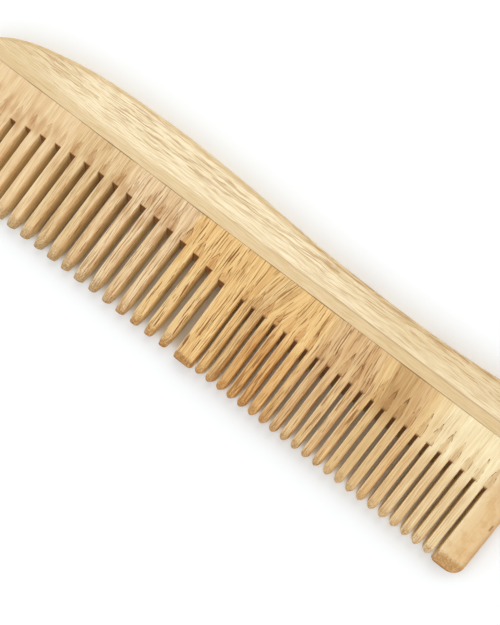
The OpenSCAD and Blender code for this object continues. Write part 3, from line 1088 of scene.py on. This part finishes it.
def spine_wood(tones):
    """Pale wood with its grain along the comb: a plain band at the glue line, streaks above."""
    wood = Recipe("spine_wood")
    x = wood.x
    y = wood.y
    wander = wood.swing(wood.noise(wood.place, (0.035, 0.2, 0.2), 3, 0.55), 2)
    ripple = wood.swing(wood.noise(wood.place, (0.16, 0.3, 0.3), offset=14), 1.1)
    grain = wood.join(x, wood.plus(y, wander, ripple), wood.z)

    # the band's upper edge is clear on the right and fades out on the left
    band_top = (2.9, 3.3)
    height = wood.plus(y, wood.times(wander, 0.35))
    clear = wood.range(x, -60, 0)
    band = wood.times(wood.fall(height, *band_top), clear)
    faint = wood.times(wood.fall(height, 1.2, 4.6), wood.less(1, clear))
    wood.shade = tones.spine
    wood.coat(wood.plus(band, faint), tones.spine_band)

    # the two ends are tanned, and the band there is darker
    right = wood.times(wood.range(x, 0, 50), wood.range(y, 3, 8, 0.45, 1), 0.75)
    wood.coat(right, tones.spine_band)
    wood.coat(wood.range(x, -90, -58, 0.85, 0), tones.spine_band)
    aged = wood.plus(wood.range(x, -80, -60, 0.3, 0), wood.range(x, 10, 60, 0, 0.3))
    wood.coat(wood.times(aged, wood.range(y, *band_top, 1, 0.2)), tones.spine_streak)

    # broad tan streaks, then fine ones, then short dark pores, then the band's fine dark edge
    upper = wood.range(y, 3, 9, 0.2, 1)
    streak = wood.noise(grain, (0.045, 1.3, 1), 3, 0.6, 4)
    wood.coat(wood.times(wood.range(streak, 0.45, 0.7), upper, 0.4), tones.spine_streak)
    fibre = wood.noise(grain, (0.13, 3.6, 1.7), 3, 0.65, 9)
    wood.coat(wood.range(fibre, 0.46, 0.6, 0, 0.62), tones.spine_streak)
    pore = wood.noise(grain, (0.14, 3.6, 1.6), 2, 0.55, 6)
    pore = wood.times(wood.range(pore, 0.555, 0.595), upper)
    wood.coat(wood.times(pore, 0.55), tones.end_grain)
    seam = wood.range(wood.apart(height, 3.1), 0.05, 0.35, 0.35, 0)
    wood.coat(wood.times(seam, wood.range(x, -35, 30)), tones.pore)

    # the rounded edge is painted darker as shade, and painted brown in its fibres as more of that
    # shade
    edge = wood.value("edge")
    wood.coat(wood.range(edge, 0, 0.7, 0, 0.75), tones.spine_edge_shade)
    wood.coat(wood.times(
        wood.range(edge, 0.2, 0.6),
        wood.range(x, -30, 30, 0.15, 0.5),
        wood.range(fibre, 0.42, 0.56),
    ), tones.pore)
    wood.glue_line(wood.fall(y, 0.03, 0.16), 0.6, tones.glue)
    roughness = wood.range(fibre, 0.2, 0.8, 0.48, 0.62)
    wood.finish(roughness, wood.bump(wood.less(fibre, pore), 0.00005, 0.5))
    return wood


def floor_paint(looks):
    """Pale matt floor with a faint mottle, and a painted shade and painted reflection of the wood on
    it.

    The painted tint lies under the teeth, darker and warm as the shade and the wood's reflection in
    the slots, and beside the right guard, grey as its shade, in oblongs with soft sides.
    """
    paint = Recipe("floor_paint")
    x = paint.x
    y = paint.y
    guard = (80, 86)
    mottle = paint.noise(paint.place, (0.05, 0.05, 0.05))
    paint.shade = looks.floor
    paint.coat(paint.range(mottle, 0.3, 0.7, 0, 0.3), looks.mottle)
    # painted shade and painted reflection under the teeth: darker in the coarse slots, warm in the
    # fine ones
    under = paint.times(
        paint.range(y, -35.5, -31),
        paint.fall(y, 4, 8),
        paint.range(x, -96, -90),
        paint.fall(x, *guard),
    )
    coarse_slot_shade = paint.mix(paint.range(x, -48, -20), looks.deep, looks.brown)
    paint.coat(under, paint.mix(paint.range(x, 1.5, 4.5), coarse_slot_shade, looks.warm))
    # painted shade on the floor next to the right guard
    beside = paint.times(
        paint.fall(x, 88.5, 94),
        paint.range(x, *guard),
        paint.range(y, -37, -31),
        paint.fall(y, 0, 6),
    )
    paint.coat(beside, looks.beside)
    paint.finish(0.9, paint.bump(mottle, 0.0001, 0.05))
    return paint


class COMB_OT_stage(bpy.types.Operator):
    """Set up the pale floor, the soft light and the camera"""

    bl_idname = "comb.stage"
    bl_label = "Stage"

    def execute(self, context):
        scene = context.scene
        looks = scene.comb_stage
        self.floor(scene, looks)
        self.sky(scene, looks)
        self.key_light(scene, looks)
        self.camera(scene, looks)
        scene.view_settings.view_transform = "Standard"
        return {"FINISHED"}

    @staticmethod
    def floor(scene, looks):
        """A square floor just under the comb."""
        reach = 1.5
        mesh = bpy.data.meshes.new("floor")
        corners = [(-reach, -reach, 0), (reach, -reach, 0), (reach, reach, 0), (-reach, reach, 0)]
        mesh.from_pydata(corners, [], [(0, 1, 2, 3)])
        mesh.materials.append(floor_paint(looks).material)
        floor = bpy.data.objects.new("floor", mesh)
        scene.collection.objects.link(floor)
        floor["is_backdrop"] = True

    @staticmethod
    def sky(scene, looks):
        """Even white light all round, fainter overhead and a little stronger from the right."""
        world = bpy.data.worlds.new("studio")
        world.use_nodes = True
        sky = Nodes(world.node_tree)
        x, _, z = sky.split(sky.add("TexCoord").outputs["Generated"])
        fade = sky.range(z, 0.5, 1.0, looks.sky, looks.overhead)
        strength = sky.times(sky.step("MULTIPLY_ADD", x, looks.side, 1.0), fade)
        background = world.node_tree.nodes["Background"]
        background.inputs["Color"].default_value = (1.0, 1.0, 1.0, 1.0)
        sky.feed(background.inputs["Strength"], strength)
        scene.world = world

    @staticmethod
    def key_light(scene, looks):
        """A small soft light high beyond the spine, turned to the comb."""
        lamp = bpy.data.lights.new("key_light", "AREA")
        lamp.shape = "DISK"
        lamp.size = looks.key_size
        lamp.energy = looks.key
        lamp.color = looks.key_tint[:3]
        key = bpy.data.objects.new("key_light", lamp)
        place = Vector(looks.key_place)
        turn = (-place).to_track_quat("-Z", "Y").to_matrix().to_4x4()
        key.matrix_world = Matrix.Translation(place) @ turn
        scene.collection.objects.link(key)

    @staticmethod
    def camera(scene, looks):
        """The camera at the photograph's place, rolled so that the comb lies aslant."""
        place = Vector(looks.camera_place)
        view = (Vector(looks.camera_aim) - place).normalized()
        along = Vector((1, 0, 0))
        level = (along - along.dot(view) * view).normalized()
        upright = level.cross(view)
        cos = math.cos(looks.camera_roll)
        sin = math.sin(looks.camera_roll)
        right = cos * level + sin * upright
        up = cos * upright - sin * level
        camera_data = bpy.data.cameras.new("camera")
        camera_data.lens = looks.lens
        camera_data.sensor_width = 36.0
        camera_data.sensor_fit = "AUTO"
        camera_data.clip_start = 0.01
        camera = bpy.data.objects.new("camera", camera_data)
        axes = Matrix((right, up, -view)).transposed().to_4x4()
        camera.matrix_world = Matrix.Translation(place) @ axes
        scene.collection.objects.link(camera)
        scene.camera = camera


class COMB_PT_panel(bpy.types.Panel):
    """Sidebar panel that lists the comb's pieces and its stage"""

    bl_idname = "COMB_PT_panel"
    bl_label = "Wooden comb"
    bl_space_type = "VIEW_3D"
    bl_region_type = "UI"
    bl_category = "Comb"

    def draw(self, context):
        layout = self.layout
        for operator in OPERATORS:
            layout.operator(operator.bl_idname)
        for group in (context.scene.comb_sizes, context.scene.comb_tones, context.scene.comb_stage):
            box = layout.box()
            for name in group.__annotations__:
                box.prop(group, name)


OPERATORS = (COMB_OT_spine_board, COMB_OT_toothed_board, COMB_OT_stage)
CLASSES = (CombSizes, WoodTones, StageLooks) + OPERATORS + (COMB_PT_panel,)


def register():
    for cls in CLASSES:
        bpy.utils.register_class(cls)
    bpy.types.Scene.comb_sizes = PointerProperty(type=CombSizes)
    bpy.types.Scene.comb_tones = PointerProperty(type=WoodTones)
    bpy.types.Scene.comb_stage = PointerProperty(type=StageLooks)


def unregister():
    del bpy.types.Scene.comb_stage
    del bpy.types.Scene.comb_tones
    del bpy.types.Scene.comb_sizes
    for cls in reversed(CLASSES):
        bpy.utils.unregister_class(cls)


def main():
    register()
    bpy.ops.comb.spine_board()
    bpy.ops.comb.toothed_board()
    bpy.ops.comb.stage()


if __name__ == "__main__":
    main()
